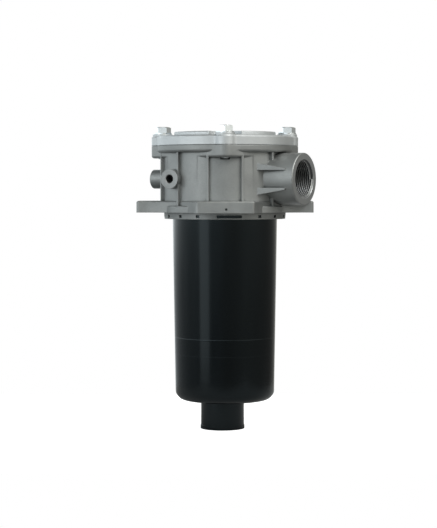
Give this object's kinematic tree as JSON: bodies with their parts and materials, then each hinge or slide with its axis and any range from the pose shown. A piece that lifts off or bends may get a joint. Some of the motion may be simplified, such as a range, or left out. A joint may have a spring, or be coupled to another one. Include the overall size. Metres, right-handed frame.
{
  "type": "hydraulic return filter",
  "caption": "Tank-top return line filter: lugged aluminium head with side inlet, bolted cover, tapered black bowl and bottom spout.",
  "frame": {"origin": "centre of the mounting flange's underside, which lies on the tank", "axes": "+Z along the filter's axis, up through the cover; +X and +Y through two of the four lugs; the inlet points 30 degrees from +X towards -Y"},
  "size_m": [0.1947, 0.192, 0.3305],
  "materials": {
    "cast_aluminium": "as cast",
    "cover_aluminium": "as cast, lighter",
    "zinc_steel": "zinc plated",
    "black_nylon": "moulded, soft gloss",
    "seal_rubber": "smooth",
    "tinned_steel": "pressed, tinned",
    "filter_paper": "pleated",
    "turned_steel": "turned",
    "spring_steel": "drawn wire"
  },
  "bodies": {
    "housing": {"filter_head": "cast_aluminium", "cover": "cover_aluminium", "cover_bolts": "zinc_steel", "cover_washers": "zinc_steel", "bowl": "black_nylon", "cover_oring": "seal_rubber", "bowl_oring": "seal_rubber", "outlet_oring": "seal_rubber", "element_top_cap": "tinned_steel", "element_bottom_cap": "tinned_steel", "core_tube": "tinned_steel", "pleat_clip": "tinned_steel", "pleated_media": "filter_paper", "bypass_seat": "turned_steel", "bypass_cage": "tinned_steel", "bypass_spring": "spring_steel", "hold_down_spring": "spring_steel"},
    "poppet": {"bypass_poppet": "turned_steel", "poppet_seal": "seal_rubber"}
  },
  "joints": [
    {"name": "bypass_slide", "type": "slide", "parent": "housing", "child": "poppet", "axis": [0, 0, -1], "range_m": [0, 0.006], "stiffness_N_per_m": 8000, "springref_m": -0.0083, "deforming": ["bypass_spring"]}
  ]
}
